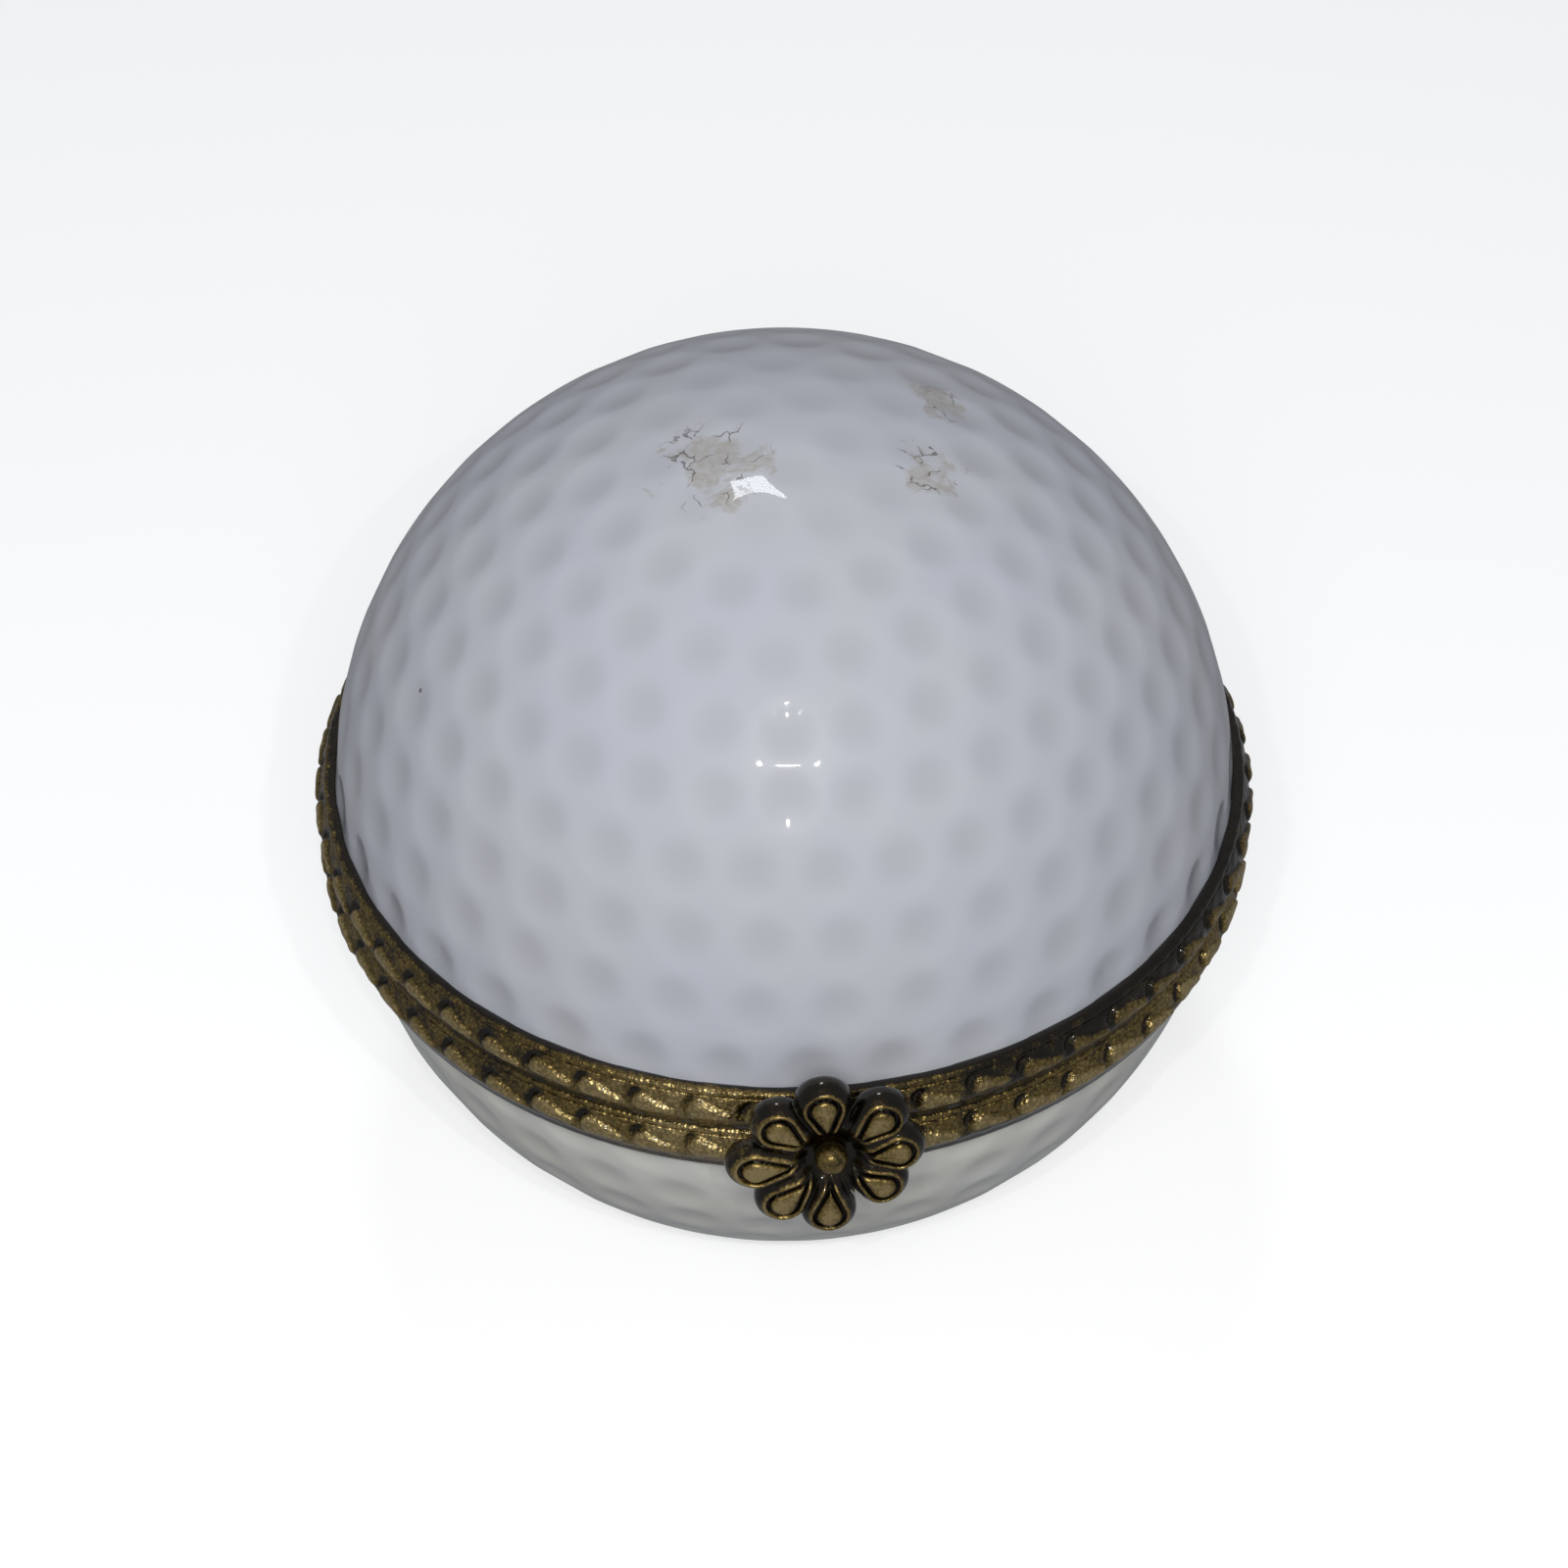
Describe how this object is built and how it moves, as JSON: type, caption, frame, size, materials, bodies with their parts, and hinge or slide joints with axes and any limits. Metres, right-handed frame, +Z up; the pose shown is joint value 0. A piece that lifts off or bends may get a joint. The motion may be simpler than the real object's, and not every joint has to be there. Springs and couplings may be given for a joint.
{
  "type": "hinged trinket box",
  "caption": "Hinged porcelain trinket box shaped like a dimpled ball, with stamped brass rim bands, a back hinge and a sprung flower clasp.",
  "frame": {"origin": "centre of the flat foot that the box stands on", "axes": "+Z up, -Y towards the flower clasp, +Y towards the hinge, +X to the right of someone facing the clasp"},
  "size_m": [0.0524, 0.0577, 0.0464],
  "materials": {
    "porcelain": "clear glossy glaze over cool white porcelain",
    "antique_brass": "dark antique patina in the recesses, rubbed bright on the high spots",
    "bedding_cement": "matt cement",
    "pin_steel": "drawn wire, dulled"
  },
  "bodies": {
    "base": {"base_shell": "porcelain", "base_band": "antique_brass", "base_seat_ring": "antique_brass", "base_cement_bed": "bedding_cement", "base_hinge_leaf": "antique_brass", "base_knuckle_1": "antique_brass", "base_knuckle_3": "antique_brass", "base_knuckle_5": "antique_brass", "hinge_pin": "pin_steel", "catch_stud": "antique_brass"},
    "lid": {"lid_shell": "porcelain", "lid_band": "antique_brass", "lid_seat_ring": "antique_brass", "lid_cement_bed": "bedding_cement", "lid_hinge_leaf": "antique_brass", "lid_knuckle_2": "antique_brass", "lid_knuckle_4": "antique_brass"},
    "clasp": {"clasp_tongue": "antique_brass", "flower": "antique_brass", "flower_rivet": "antique_brass"}
  },
  "joints": [
    {"name": "lid_hinge", "type": "hinge", "parent": "base", "child": "lid", "pos_m": [0, 0.02735, 0.0207], "axis": [-1, 0, 0], "range_deg": [0, 70]},
    {"name": "clasp_spring", "type": "hinge", "parent": "lid", "child": "clasp", "pos_m": [0, -0.0265, 0.02218], "axis": [-1, 0, 0], "range_deg": [0, 5], "stiffness_Nm_per_rad": 0.1}
  ]
}
